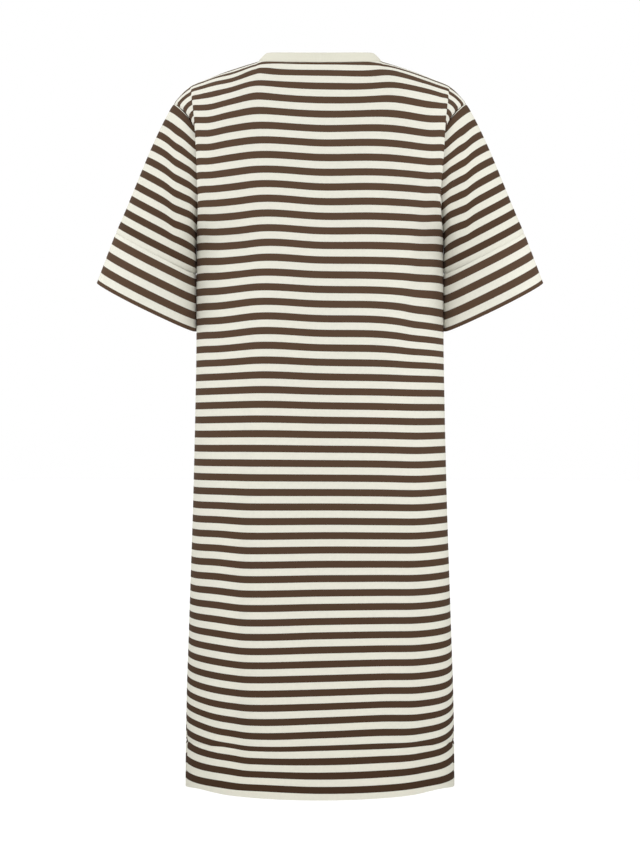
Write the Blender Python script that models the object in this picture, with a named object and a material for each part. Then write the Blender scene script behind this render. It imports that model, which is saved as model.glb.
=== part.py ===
# Striped jersey dress with dropped shoulders, elbow-length cuffed sleeves and side slits.
# It keeps the hollow form it has when worn, open at the neck, hem and both cuffs.
# Frame: metres, +Z up, the wearer's back towards -Y and the wearer's left towards -X.
# The origin is level with the side of the neck, midway between back and front.

import math
from collections import namedtuple

import bmesh
import bpy
import numpy as np

# Cloth
JERSEY_THICKNESS = 0.0015
DOUBLED_THICKNESS = 0.0024
RIB_THICKNESS = 0.0026
SEAM_GAP = 0.0003

# Heights of the main lines, measured down from the side of the neck
ARMPIT_HEIGHT = -0.266
HEM_HEIGHT = -1.027
HEM_BAND_DEPTH = 0.065
HEM_DIP = 0.0038
SLIT_DEPTH = 0.085
SLIT_OPENING = 0.007
HEM_SEAM_HEIGHT = HEM_HEIGHT + HEM_BAND_DEPTH
SLIT_TOP_HEIGHT = HEM_HEIGHT + SLIT_DEPTH

# Neckline and neckband, as half ellipses that meet at the side of the neck
NECK_HALF_WIDTH = 0.0885
NECK_SIDE_HEIGHT = 0.005
NECK_BACK_DEPTH = 0.072
NECK_BACK_DROP = 0.010
NECK_FRONT_DEPTH = 0.090
NECK_FRONT_DROP = 0.085
BAND_TOP_HALF_WIDTH = 0.0765
BAND_TOP_HEIGHT = 0.018
BAND_BACK_DEPTH = 0.064
BAND_BACK_DROP = 0.0085
BAND_FRONT_DEPTH = 0.079
BAND_FRONT_DROP = 0.079
BAND_BULGE = 0.0012

# How the neckline falls from its sides: 1 would be in a straight slope, more starts level
NECK_FALL_POWER = 1.35

# Share of a panel's half width that the neckline takes, the rest being the shoulder seam
NECK_SHARE = 0.29

# Depth below its top edge over which a panel rounds from the edge to its full depth
SHOULDER_ROUNDING = 0.085
NAPE_ROUNDING = 0.130
NAPE_POWER = 1.6
# How late, going up from the armpit, the panel's columns lean out to the shoulder
LEAN_POWER = 5.0

# Mesh density
NECK_COLUMNS = 8
SHOULDER_COLUMNS = 9
PANEL_LOWER_ROWS = 12
PANEL_UPPER_ROWS = 15
HEM_ROWS = 3
SLEEVE_COLUMNS = 28
SLEEVE_ROWS = 9
CUFF_ROWS = 3
NECKBAND_ROWS = 3

# Half width of the worn tube at each height, the same for back and front
Width = namedtuple("Width", "height half_width")
WIDTHS = [
    Width(HEM_HEIGHT, 0.1920),
    Width(-0.990, 0.1918),
    Width(-0.905, 0.1906),
    Width(-0.820, 0.1878),
    Width(-0.734, 0.1849),
    Width(-0.648, 0.1820),
    Width(-0.563, 0.1797),
    Width(-0.477, 0.1778),
    Width(-0.391, 0.1765),
    Width(ARMPIT_HEIGHT, 0.1765),
    Width(-0.210, 0.1742),
    Width(-0.150, 0.1732),
    Width(-0.110, 0.1745),
]

# Side view of each panel: how far its middle stands out from the side seam's plane,
# where its section turns round to the side, and where its own edge lies
Profile = namedtuple("Profile", "height middle turn edge")
HALF_GAP = SEAM_GAP / 2
BACK_PROFILE = [
    Profile(HEM_HEIGHT, 0.118, 0.000, SLIT_OPENING / 2),
    Profile(HEM_SEAM_HEIGHT, 0.116, 0.000, 0.0012),
    Profile(SLIT_TOP_HEIGHT, 0.115, 0.000, HALF_GAP),
    Profile(-0.780, 0.113, 0.000, HALF_GAP),
    Profile(-0.580, 0.112, 0.000, HALF_GAP),
    Profile(-0.430, 0.106, 0.000, HALF_GAP),
    Profile(-0.330, 0.107, 0.000, HALF_GAP),
    Profile(ARMPIT_HEIGHT, 0.108, 0.000, HALF_GAP),
    Profile(-0.230, 0.108, 0.035, 0.022),
    Profile(-0.190, 0.108, 0.062, 0.053),
    Profile(-0.150, 0.107, 0.070, 0.057),
    Profile(-0.100, 0.106, 0.070, 0.057),
]
FRONT_PROFILE = [
    Profile(HEM_HEIGHT, 0.112, 0.000, SLIT_OPENING / 2),
    Profile(HEM_SEAM_HEIGHT, 0.110, 0.000, 0.0012),
    Profile(SLIT_TOP_HEIGHT, 0.109, 0.000, HALF_GAP),
    Profile(-0.780, 0.107, 0.000, HALF_GAP),
    Profile(-0.580, 0.103, 0.000, HALF_GAP),
    Profile(-0.430, 0.104, 0.000, HALF_GAP),
    Profile(-0.330, 0.112, 0.000, HALF_GAP),
    Profile(ARMPIT_HEIGHT, 0.114, 0.000, HALF_GAP),
    Profile(-0.230, 0.113, 0.030, 0.021),
    Profile(-0.190, 0.111, 0.050, 0.044),
    Profile(-0.150, 0.108, 0.056, 0.050),
    Profile(-0.100, 0.105, 0.056, 0.050),
]

# Shoulder seam from the side of the neck to the top of the armhole
Shoulder = namedtuple("Shoulder", "out forward height")
SHOULDER_SEAM = [
    Shoulder(NECK_HALF_WIDTH, 0.000, NECK_SIDE_HEIGHT),
    Shoulder(0.1300, 0.003, -0.0078),
    Shoulder(0.1600, 0.005, -0.0188),
    Shoulder(0.1870, 0.006, -0.0305),
    Shoulder(0.2095, 0.006, -0.0530),
]

# Soft folds: a trough where the depth is negative, a ridge where it is positive.
# Each runs from its top point to its bottom point, and across is measured from the middle.
Fold = namedtuple("Fold", "top_across top_height bottom_across bottom_height width depth")
BACK_FOLDS = [
    Fold(-0.112, -0.300, -0.122, -0.960, 0.016, -0.0040),
    Fold(-0.085, -0.340, -0.090, -0.900, 0.020, 0.0025),
    Fold(0.158, -0.200, 0.128, -0.420, 0.016, -0.0045),
    Fold(0.132, -0.180, 0.100, -0.360, 0.020, 0.0030),
    Fold(0.142, -0.520, 0.150, -1.000, 0.018, -0.0030),
    Fold(-0.070, -0.060, -0.052, -0.240, 0.024, 0.0030),
    Fold(0.004, -0.050, 0.010, -0.230, 0.028, -0.0035),
    Fold(0.066, -0.060, 0.060, -0.210, 0.022, 0.0025),
]
FRONT_FOLDS = [
    Fold(-0.150, -0.190, -0.110, -0.380, 0.016, -0.0045),
    Fold(0.154, -0.200, 0.118, -0.400, 0.016, -0.0040),
    Fold(0.100, -0.330, 0.116, -0.950, 0.020, -0.0035),
    Fold(-0.092, -0.400, -0.108, -1.000, 0.022, -0.0035),
    Fold(0.020, -0.420, 0.030, -0.980, 0.030, 0.0030),
    Fold(-0.050, -0.130, -0.030, -0.260, 0.026, -0.0025),
]
FOLD_FADE = 0.070

# Sleeve on the -X side as rings: the cuff seam and the cuff's open edge.
# Each has its outermost and innermost point, its half depth, and how far its back hangs lower.
Ring = namedtuple("Ring", "outer_x outer_height inner_x inner_height half_depth back_sag")
CUFF_SEAM = Ring(0.2915, -0.2385, 0.1778, -0.2975, 0.058, 0.0043)
CUFF_EDGE = Ring(0.3185, -0.3100, 0.1776, -0.3790, 0.050, 0.0056)
# Directions, as out and up, in which the sleeve leaves the shoulder and the armpit,
# and in which it reaches the cuff
CAP_DIRECTION = (0.505, -0.863)
ARMPIT_DIRECTION = (0.30, -0.95)
SLEEVE_DIRECTION = (0.42, -0.91)
ARMPIT_SHARE = 0.16
# The sleeve's edge stands this much further in where it is tucked behind the panel's fold
TUCK_CLEARANCE = 0.0014
ARMHOLE_SAMPLES = 240

STRIPED_COLOUR = (0.47, 0.39, 0.33, 1.0)
RIB_COLOUR = (0.80, 0.77, 0.66, 1.0)
CLOTH_ROUGHNESS = 0.85


# Smooth curve through a table's rows, read at one height
def read_table(rows, height, column):
    heights = [row.height for row in rows]
    values = [getattr(row, column) for row in rows]
    if height <= heights[0]:
        return values[0]
    if height >= heights[-1]:
        return values[-1]
    index = max(i for i, h in enumerate(heights) if h <= height)
    slopes = [(values[i + 1] - values[i]) / (heights[i + 1] - heights[i]) for i in range(len(rows) - 1)]

    def tangent(i):
        if i == 0 or i == len(rows) - 1:
            return 0.0
        before, after = slopes[i - 1], slopes[i]
        return 0.0 if before * after <= 0 else 2 * before * after / (before + after)

    span = heights[index + 1] - heights[index]
    t = (height - heights[index]) / span
    rise = 3 * t * t - 2 * t * t * t
    leave = t * (1 - t) * (1 - t)
    arrive = -t * t * (1 - t)
    value = values[index] + rise * (values[index + 1] - values[index])
    return value + span * (leave * tangent(index) + arrive * tangent(index + 1))


def smooth_step(value):
    value = min(max(value, 0.0), 1.0)
    return value * value * (3 - 2 * value)


# Everything that tells the back from the front
Panel = namedtuple("Panel", "profile folds side neck_depth neck_drop nape_until shoulder_from")
BACK = Panel(BACK_PROFILE, BACK_FOLDS, -1, NECK_BACK_DEPTH, NECK_BACK_DROP, 0.00, 0.40)
FRONT = Panel(FRONT_PROFILE, FRONT_FOLDS, 1, NECK_FRONT_DEPTH, NECK_FRONT_DROP, 0.05, 0.45)


# Point on a panel's top edge, for a share of its half width from the middle
def top_edge(panel, share):
    if share <= NECK_SHARE:
        angle = math.pi / 2 * share / NECK_SHARE
        depth = panel.neck_depth * math.cos(angle) + HALF_GAP
        height = NECK_SIDE_HEIGHT - panel.neck_drop * math.cos(angle) ** NECK_FALL_POWER
        return NECK_HALF_WIDTH * math.sin(angle), panel.side * depth, height
    along = (share - NECK_SHARE) / (1 - NECK_SHARE) * (len(SHOULDER_SEAM) - 1)
    first = min(int(along), len(SHOULDER_SEAM) - 2)
    t = along - first
    knots = [SHOULDER_SEAM[min(max(first + k, 0), len(SHOULDER_SEAM) - 1)] for k in (-1, 0, 1, 2)]
    blend = [
        -t * (1 - t) * (1 - t) / 2,
        1 + t * t * (3 * t - 5) / 2,
        t * (1 + t * (4 - 3 * t)) / 2,
        -t * t * (1 - t) / 2,
    ]
    out, forward, height = [sum(w * knot[k] for w, knot in zip(blend, knots)) for k in range(3)]
    return out, forward + panel.side * HALF_GAP, height


# How far a panel has rounded from its top edge to its full depth
def rounding(panel, share, drop):
    shoulder = min(max(drop / SHOULDER_ROUNDING, 0.0), 1.0)
    nape = min(max(drop / NAPE_ROUNDING, 0.0), 1.0)
    over_shoulder = math.sqrt(1 - (1 - shoulder) ** 2)
    over_nape = 1 - (1 - nape) ** NAPE_POWER
    blend = smooth_step((share - panel.nape_until) / (panel.shoulder_from - panel.nape_until))
    return over_nape + (over_shoulder - over_nape) * blend


def fold_relief(panel, across, height):
    relief = 0.0
    for fold in panel.folds:
        along = (fold.top_height - height) / (fold.top_height - fold.bottom_height)
        centre = fold.top_across + (fold.bottom_across - fold.top_across) * along
        from_ends = min(fold.top_height - height, height - fold.bottom_height)
        fade = smooth_step(1 + from_ends / FOLD_FADE)
        relief += fold.depth * fade * math.exp(-(((across - centre) / fold.width) ** 2))
    return relief


# Point on a panel's outer face: share from -1 at one side seam to 1 at the other,
# and level from -1 at the hem through 0 at the armpit to 1 at the top edge
def panel_point(panel, share, height=None, rise=None):
    part = abs(share)
    hand = 1 if share >= 0 else -1
    top_out, top_depth, top_height = top_edge(panel, part)
    if height is None:
        height = ARMPIT_HEIGHT + rise * (top_height - ARMPIT_HEIGHT)
    half_width = read_table(WIDTHS, height, "half_width")
    middle = read_table(panel.profile, height, "middle")
    turn = read_table(panel.profile, height, "turn")
    edge = read_table(panel.profile, height, "edge")
    reach = middle - turn
    angle = part * math.acos((edge - turn) / reach)
    out = half_width * math.sin(angle)
    depth = turn + reach * math.cos(angle)
    relief = fold_relief(panel, hand * out, height)
    relief *= 1 - smooth_step((part - 0.86) / 0.12)
    out += relief * math.sin(angle)
    depth = panel.side * (depth + relief * math.cos(angle))
    if height > ARMPIT_HEIGHT:
        climb = (height - ARMPIT_HEIGHT) / (top_height - ARMPIT_HEIGHT)
        out += (top_out - out) * climb ** LEAN_POWER
        depth = top_depth + (depth - top_depth) * rounding(panel, part, top_height - height)
    return np.array((hand * out, depth, height))


# Outer face of a sheet, as a grid of points, and the unit normals that point out of it
def outward_normals(points, cyclic):
    if cyclic:
        along = np.roll(points, -1, axis=0) - np.roll(points, 1, axis=0)
    else:
        along = np.gradient(points, axis=0)
    up = np.gradient(points, axis=1)
    normals = np.cross(along, up)
    return normals / np.linalg.norm(normals, axis=2, keepdims=True)


# A closed wall between the outer points and the same points moved in
def build_wall(name, outer, inner, cyclic, colour):
    columns, rows = outer.shape[:2]
    mesh = bpy.data.meshes.new(name)
    form = bmesh.new()
    layers = []
    for points in (outer, inner):
        layers.append([[form.verts.new(points[i, j]) for j in range(rows)] for i in range(columns)])
    strips = columns if cyclic else columns - 1
    for i in range(strips):
        k = (i + 1) % columns
        for j in range(rows - 1):
            form.faces.new([layers[0][i][j], layers[0][k][j], layers[0][k][j + 1], layers[0][i][j + 1]])
            form.faces.new([layers[1][i][j + 1], layers[1][k][j + 1], layers[1][k][j], layers[1][i][j]])
        form.faces.new([layers[0][k][0], layers[0][i][0], layers[1][i][0], layers[1][k][0]])
        form.faces.new([layers[0][i][-1], layers[0][k][-1], layers[1][k][-1], layers[1][i][-1]])
    if not cyclic:
        for j in range(rows - 1):
            form.faces.new([layers[0][0][j], layers[0][0][j + 1], layers[1][0][j + 1], layers[1][0][j]])
            form.faces.new([layers[0][-1][j + 1], layers[0][-1][j], layers[1][-1][j], layers[1][-1][j + 1]])
    form.to_mesh(mesh)
    form.free()
    mesh.shade_smooth()
    mesh.set_sharp_from_angle(angle=math.radians(50))
    cloth = bpy.data.objects.new(name, mesh)
    bpy.context.scene.collection.objects.link(cloth)
    material = bpy.data.materials.new(name + "_cloth")
    material.use_nodes = True
    shader = material.node_tree.nodes["Principled BSDF"]
    shader.inputs["Base Color"].default_value = colour
    shader.inputs["Roughness"].default_value = CLOTH_ROUGHNESS
    shader.inputs["Metallic"].default_value = 0.0
    mesh.materials.append(material)
    return cloth


# Shares across a panel, in the order that turns its faces outwards
def panel_shares(panel):
    neck = np.linspace(0, NECK_SHARE, NECK_COLUMNS + 1)
    shoulder = np.linspace(NECK_SHARE, 1, SHOULDER_COLUMNS + 1)[1:]
    half = np.concatenate((neck, shoulder))
    shares = np.concatenate((-half[:0:-1], half))
    return shares if panel.side < 0 else shares[::-1]


def build_panel(name, panel):
    lower = [HEM_SEAM_HEIGHT + HALF_GAP, SLIT_TOP_HEIGHT]
    lower += list(np.linspace(SLIT_TOP_HEIGHT, ARMPIT_HEIGHT, PANEL_LOWER_ROWS)[1:])
    rises = [1 - (1 - j / PANEL_UPPER_ROWS) ** 1.35 for j in range(1, PANEL_UPPER_ROWS + 1)]
    columns = []
    for share in panel_shares(panel):
        column = [panel_point(panel, share, height=height) for height in lower]
        column += [panel_point(panel, share, rise=rise) for rise in rises]
        columns.append(column)
    outer = np.array(columns)
    inward = outward_normals(outer, cyclic=False)
    # At the shoulder and side seams the wall is squared off, so that both sides of the seam are level
    inward[:, -1, 1] = 0
    on_neckline = np.abs(panel_shares(panel)) < NECK_SHARE
    inward[on_neckline, -1] = outward_normals(outer, cyclic=False)[on_neckline, -1]
    inward[0, :len(lower), 1] = 0
    inward[-1, :len(lower), 1] = 0
    inward /= np.linalg.norm(inward, axis=2, keepdims=True)
    return build_wall(name, outer, outer - JERSEY_THICKNESS * inward, False, STRIPED_COLOUR)


# The hem hangs a little lower in the middle than at the side slits
def build_hem_band(name, panel):
    top = HEM_SEAM_HEIGHT - HALF_GAP
    columns = []
    for share in panel_shares(panel):
        bottom = HEM_HEIGHT - HEM_DIP * math.cos(share * math.pi / 2) ** 3
        columns.append([panel_point(panel, share, height=h) for h in np.linspace(bottom, top, HEM_ROWS + 1)])
    outer = np.array(columns)
    inward = outward_normals(outer, cyclic=False)
    inward[0, :, 1] = 0
    inward[-1, :, 1] = 0
    inward /= np.linalg.norm(inward, axis=2, keepdims=True)
    return build_wall(name, outer, outer - DOUBLED_THICKNESS * inward, False, STRIPED_COLOUR)


# Half of an armhole, from the top of the shoulder to the armpit, at even steps of its length
def armhole_half(panel, count):
    rises = np.linspace(1, 0, ARMHOLE_SAMPLES)
    path = np.array([panel_point(panel, -1, rise=rise) for rise in rises])
    steps = np.linalg.norm(np.diff(path, axis=0), axis=1)
    lengths = np.concatenate(([0], np.cumsum(steps)))
    wanted = np.linspace(0, lengths[-1], count + 1)
    return np.array([[np.interp(w, lengths, path[:, k]) for k in range(3)] for w in wanted])


# The whole armhole on the -X side: down its back edge and up its front edge
def armhole_loop():
    half = SLEEVE_COLUMNS // 2
    back = armhole_half(BACK, half)
    front = armhole_half(FRONT, half)
    loop = np.concatenate((back[:-1], front[::-1][:-1]))
    loop[0] = (back[0] + front[0]) / 2
    loop[half] = (back[-1] + front[-1]) / 2
    return loop


# Ring of the sleeve on the -X side, starting at its outermost point and going round by the back
def sleeve_ring(ring):
    centre = np.array((-(ring.outer_x + ring.inner_x) / 2, 0, (ring.outer_height + ring.inner_height) / 2))
    across = np.array((-ring.outer_x, 0, ring.outer_height)) - centre
    along = np.array((-SLEEVE_DIRECTION[0], 0, SLEEVE_DIRECTION[1]))
    points = []
    for i in range(SLEEVE_COLUMNS):
        angle = 2 * math.pi * i / SLEEVE_COLUMNS
        swing = math.sin(angle)
        point = centre + across * math.cos(angle) + along * ring.back_sag * swing
        points.append(point + np.array((0, -ring.half_depth * swing, 0)))
    return np.array(points)


# Sleeve points on the -X side, from the armhole down to the cuff seam
def sleeve_grid():
    start = armhole_loop()
    end = sleeve_ring(CUFF_SEAM)
    cap = np.array((-CAP_DIRECTION[0], 0, CAP_DIRECTION[1]))
    armpit = np.array((-ARMPIT_DIRECTION[0], 0, ARMPIT_DIRECTION[1]))
    arrive = np.array((-SLEEVE_DIRECTION[0], 0, SLEEVE_DIRECTION[1]))
    from_armpit = np.abs(np.arange(SLEEVE_COLUMNS) * 2 / SLEEVE_COLUMNS - 1)
    near_armpit = np.array([smooth_step(1 - share / ARMPIT_SHARE) for share in from_armpit])[:, None]
    leave = cap + (armpit - cap) * near_armpit
    arrive = arrive + (armpit - arrive) * near_armpit
    chord = np.linalg.norm(end - start, axis=1, keepdims=True)
    start = start + leave * SEAM_GAP * 1.5
    start[:, 1] -= TUCK_CLEARANCE * np.clip(start[:, 1] / 0.03, -1, 1)
    end = end - arrive * HALF_GAP
    rows = []
    for t in np.linspace(0, 1, SLEEVE_ROWS + 1):
        rise = 3 * t * t - 2 * t ** 3
        out = t * (1 - t) ** 2
        back = -t * t * (1 - t)
        rows.append(start + rise * (end - start) + chord * (out * leave + back * arrive))
    return np.array(rows[::-1]).transpose(1, 0, 2)


def cuff_grid():
    start = sleeve_ring(CUFF_SEAM)
    end = sleeve_ring(CUFF_EDGE)
    arrive = np.array((-SLEEVE_DIRECTION[0], 0, SLEEVE_DIRECTION[1]))
    start = start + arrive * HALF_GAP
    rows = [start + t * (end - start) for t in np.linspace(0, 1, CUFF_ROWS + 1)]
    return np.array(rows[::-1]).transpose(1, 0, 2)


# A sleeve piece on the -X side, or its mirror image on the +X side
def build_sleeve_piece(name, grid, thickness, mirrored):
    outer = grid[::-1] * np.array((-1, 1, 1)) if mirrored else grid
    inner = outer - thickness * outward_normals(outer, cyclic=True)
    return build_wall(name, outer, inner, True, STRIPED_COLOUR)


# One edge of the neckband: a half ellipse at the back and a deeper one at the front
def neck_curve(angle, half_width, side_height, back, front):
    depth, drop = back if math.cos(angle) > 0 else front
    swing = math.cos(angle)
    height = side_height - drop * abs(swing) ** NECK_FALL_POWER
    return np.array((half_width * math.sin(angle), -depth * swing, height))


def build_neckband():
    columns = []
    for i in range(4 * NECK_COLUMNS):
        angle = math.pi / 2 * i / NECK_COLUMNS
        foot = neck_curve(angle, NECK_HALF_WIDTH, NECK_SIDE_HEIGHT,
                          (NECK_BACK_DEPTH, NECK_BACK_DROP), (NECK_FRONT_DEPTH, NECK_FRONT_DROP))
        top = neck_curve(angle, BAND_TOP_HALF_WIDTH, BAND_TOP_HEIGHT,
                         (BAND_BACK_DEPTH, BAND_BACK_DROP), (BAND_FRONT_DEPTH, BAND_FRONT_DROP))
        foot = foot + SEAM_GAP * 1.5 * (top - foot) / np.linalg.norm(top - foot)
        out = np.array((math.sin(angle), -math.cos(angle), 0.0))
        columns.append([foot + t * (top - foot) + out * BAND_BULGE * 4 * t * (1 - t)
                        for t in np.linspace(0, 1, NECKBAND_ROWS + 1)])
    outer = np.array(columns)
    inner = outer - RIB_THICKNESS * outward_normals(outer, cyclic=True)
    return build_wall("neckband", outer, inner, True, RIB_COLOUR)


for leftover in list(bpy.data.objects):
    bpy.data.objects.remove(leftover, do_unlink=True)

build_panel("back_panel", BACK)
build_panel("front_panel", FRONT)
build_hem_band("hem_band_back", BACK)
build_hem_band("hem_band_front", FRONT)
for hand, mirrored in (("left", False), ("right", True)):
    build_sleeve_piece("sleeve_" + hand, sleeve_grid(), JERSEY_THICKNESS, mirrored)
    build_sleeve_piece("cuff_" + hand, cuff_grid(), DOUBLED_THICKNESS, mirrored)
build_neckband()
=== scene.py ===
# A striped jersey dress, filled out as when it is worn, seen from the back in soft studio light.
# Everything is in metres, +Z up, with the wearer's back towards -Y and the wearer's left towards -X.

import math
from collections import namedtuple

import bpy
import numpy as np
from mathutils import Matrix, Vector


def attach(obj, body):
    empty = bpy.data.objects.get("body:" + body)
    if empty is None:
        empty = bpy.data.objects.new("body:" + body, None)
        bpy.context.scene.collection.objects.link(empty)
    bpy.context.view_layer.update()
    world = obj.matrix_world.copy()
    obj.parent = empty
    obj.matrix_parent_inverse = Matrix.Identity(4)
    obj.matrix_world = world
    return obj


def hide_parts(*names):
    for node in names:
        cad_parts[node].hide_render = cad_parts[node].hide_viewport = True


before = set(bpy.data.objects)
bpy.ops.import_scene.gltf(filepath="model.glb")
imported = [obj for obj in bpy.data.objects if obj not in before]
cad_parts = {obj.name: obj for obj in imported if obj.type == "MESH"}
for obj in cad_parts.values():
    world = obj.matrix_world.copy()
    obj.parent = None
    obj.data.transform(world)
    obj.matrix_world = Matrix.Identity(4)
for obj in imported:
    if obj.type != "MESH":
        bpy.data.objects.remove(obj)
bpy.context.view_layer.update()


# Back panel
# Yarn-dyed cotton jersey, cut in one with the dropped shoulders and sewn to the front along
# the shoulders and sides. Its armhole edge is folded under and hides behind a deep soft crest.

ARMPIT_HEIGHT = -0.266
HEM_HEIGHT = -1.027
HEM_BAND_DEPTH = 0.065
HEM_DIP = 0.0038
# The hem lies a little higher over each side's curve: how much, and where across a half panel
HEM_LIFT = 0.0030
HEM_LIFT_SHARE = 0.72
HEM_LIFT_SPREAD = 0.16
HEM_SEAM_HEIGHT = HEM_HEIGHT + HEM_BAND_DEPTH
HEM_SEAM_HALF_GAP = 0.00002
SLIT_DEPTH = 0.085
SLIT_TOP_HEIGHT = HEM_HEIGHT + SLIT_DEPTH
SEAM_TWIST_HEIGHT = -0.885
SEAM_GAP = 0.0003
HALF_GAP = SEAM_GAP / 2

NECK_HALF_WIDTH = 0.0885
NECK_SIDE_HEIGHT = 0.005
NECK_BACK_DEPTH = 0.072
NECK_BACK_DROP = 0.010
NECK_FALL_POWER = 1.35
NECK_SHARE = 0.29
SHOULDER_ROUNDING = 0.085
NAPE_ROUNDING = 0.130
NAPE_POWER = 1.6
LEAN_POWER = 5.0

# Half width of the worn tube at each height
Width = namedtuple("Width", "height half_width")
WIDTHS = [
    Width(HEM_HEIGHT, 0.1920),
    Width(-0.990, 0.1918),
    Width(-0.905, 0.1906),
    Width(-0.820, 0.1878),
    Width(-0.734, 0.1849),
    Width(-0.648, 0.1820),
    Width(-0.563, 0.1797),
    Width(-0.477, 0.1778),
    Width(-0.391, 0.1765),
    Width(ARMPIT_HEIGHT, 0.1765),
    Width(-0.210, 0.1722),
    Width(-0.150, 0.1708),
    Width(-0.110, 0.1714),
]
# Side view of a panel: how far its middle stands out, where its section turns to the side,
# and where its edge lies. Near the slits the seam turns towards the back, so that the front
# panel's edge shows beyond the back one.
Profile = namedtuple("Profile", "height middle turn edge")
BACK_PROFILE = [
    Profile(HEM_HEIGHT, 0.1180, 0.000, 0.0065),
    Profile(-0.990, 0.1169, 0.000, 0.0215),
    Profile(HEM_SEAM_HEIGHT, 0.1160, 0.000, 0.0210),
    Profile(SLIT_TOP_HEIGHT, 0.1150, 0.000, 0.0155),
    Profile(SEAM_TWIST_HEIGHT, 0.1143, 0.000, HALF_GAP),
    Profile(-0.780, 0.1130, 0.000, HALF_GAP),
    Profile(-0.580, 0.112, 0.000, HALF_GAP),
    Profile(-0.430, 0.106, 0.000, HALF_GAP),
    Profile(-0.330, 0.107, 0.000, HALF_GAP),
    Profile(ARMPIT_HEIGHT, 0.108, 0.000, HALF_GAP),
    Profile(-0.230, 0.108, 0.035, 0.022),
    Profile(-0.190, 0.108, 0.062, 0.053),
    Profile(-0.150, 0.107, 0.070, 0.057),
    Profile(-0.100, 0.106, 0.070, 0.057),
]
# Shoulder seam from the side of the neck to the top of the armhole
Shoulder = namedtuple("Shoulder", "out forward height")
SHOULDER_SEAM = [
    Shoulder(NECK_HALF_WIDTH, 0.000, NECK_SIDE_HEIGHT),
    Shoulder(0.1300, 0.003, -0.0078),
    Shoulder(0.1600, 0.005, -0.0188),
    Shoulder(0.1870, 0.006, -0.0305),
    Shoulder(0.2095, 0.006, -0.0530),
]
# Soft folds: troughs have a negative depth and ridges a positive one
Fold = namedtuple("Fold", "top_across top_height bottom_across bottom_height width depth")
BACK_FOLDS = [
    Fold(-0.112, -0.300, -0.122, -0.960, 0.016, -0.0040),
    Fold(-0.085, -0.340, -0.090, -0.900, 0.020, 0.0025),
    Fold(0.158, -0.200, 0.128, -0.420, 0.016, -0.0045),
    Fold(0.132, -0.180, 0.100, -0.360, 0.020, 0.0030),
    Fold(0.142, -0.520, 0.150, -1.000, 0.018, -0.0030),
    Fold(-0.070, -0.060, -0.052, -0.240, 0.024, 0.0030),
    Fold(0.004, -0.050, 0.010, -0.230, 0.028, -0.0035),
    Fold(0.066, -0.060, 0.060, -0.210, 0.022, 0.0025),
]
FOLD_FADE = 0.070
# Folds die out towards the side seam, from this share of a half panel to that one
FOLD_SIDE_FADE = (0.86, 0.98)
# The armhole's crest: its place across a half panel, how far it stands out, how softly it
# rises from the body and how sharply it falls towards the arm
Crest = namedtuple("Crest", "share height rise fall top bottom")
CREST = Crest(0.805, 0.0030, 0.055, 0.016, -0.036, -0.262)
CREST_TOP_FADE = 0.025
CREST_BOTTOM_FADE = 0.050
# High up, stripes curl up a little on the crest and come out lower behind it
CREST_CURL = 0.0020
CREST_TUCK = 0.0042
CREST_TUCK_SPREAD = 0.080
CREST_TUCK_HEIGHTS = (-0.110, -0.070)
# How far the stripes ride above their plain level, in millimetres, where the cloth is eased,
# stretched or caught: at ten places from the wearer's left side seam to the right one
Ride = namedtuple("Ride", "level l_seam l_edge l_fold l_drape l_mid middle r_mid r_fold r_edge r_seam")
RIDE_SHARES = (-1.0, -0.77, -0.56, -0.42, -0.30, 0.0, 0.30, 0.56, 0.77, 1.0)
BACK_RIDES = [
    Ride(-1.030, 4.5, 4.8, 4.2, 3.0, 3.0, 1.5, 2.0, 4.0, 4.8, 4.5),
    Ride(-1.016, 8.5, 6.0, 4.2, 2.5, 2.5, 1.0, 1.5, 3.7, 6.0, 8.5),
    Ride(-0.940, 12.5, 6.0, -1.0, -4.0, -4.0, -0.5, 1.5, 0.0, 4.0, 15.0),
    Ride(-0.880, 9.5, 2.5, -3.0, -6.0, -5.5, -2.5, -1.0, -3.0, 0.0, 9.5),
    Ride(-0.800, 1.5, -2.0, -4.5, -7.5, -7.0, -4.0, -3.5, -5.0, -3.0, 0.0),
    Ride(-0.720, -3.5, -4.5, -5.0, -7.5, -7.0, -5.0, -5.5, -7.0, -5.5, -4.5),
    Ride(-0.600, -5.0, -5.5, -5.5, -6.0, -6.0, -6.0, -7.0, -8.5, -7.5, -7.0),
    Ride(-0.460, -5.5, -5.5, -5.0, -4.0, -3.5, -6.0, -7.0, -8.0, -8.0, -8.0),
    Ride(-0.370, -6.5, -6.5, -6.0, -3.0, -1.5, -5.5, -6.5, -12.0, -15.0, -16.0),
    Ride(-0.320, -4.5, -4.5, -4.5, -2.0, -1.0, -5.0, -5.5, -7.5, -8.0, -9.0),
    Ride(-0.260, -0.5, -0.5, -2.5, -1.5, 0.5, -4.0, -3.5, -3.5, -2.0, -2.0),
    Ride(-0.180, 3.5, 3.5, 0.0, 0.5, 2.5, -3.0, -1.5, -1.5, 3.5, 3.5),
    Ride(-0.100, 2.5, 2.5, -1.8, 1.5, 4.0, -1.0, 0.5, -2.2, 2.5, 2.5),
    Ride(-0.060, 0.5, 0.8, -3.6, 0.6, 6.0, 1.0, 3.0, 0.0, 3.8, 4.0),
    Ride(-0.040, 0.0, 0.5, -1.2, 1.4, 9.0, 2.0, 6.0, 4.5, 4.0, 4.0),
    Ride(-0.020, 1.0, 1.5, 2.2, 2.6, 11.0, 3.0, 9.5, 6.6, 4.0, 4.0),
    Ride(0.005, 1.0, 2.0, 6.0, 6.0, 20.0, 0.0, 19.0, 10.0, 4.0, 4.0),
]

JERSEY_THICKNESS = 0.0011
# Cloth dips into a seam over this width. The side seam is pressed nearly flat below the armpit
SEAM_DIP = 0.0011
SEAM_ROLL = 0.0026
SIDE_SEAM_FLATNESS = 0.7
SIDE_SEAM_FADE = 0.010
SLIT_FADE = 0.004
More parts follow.
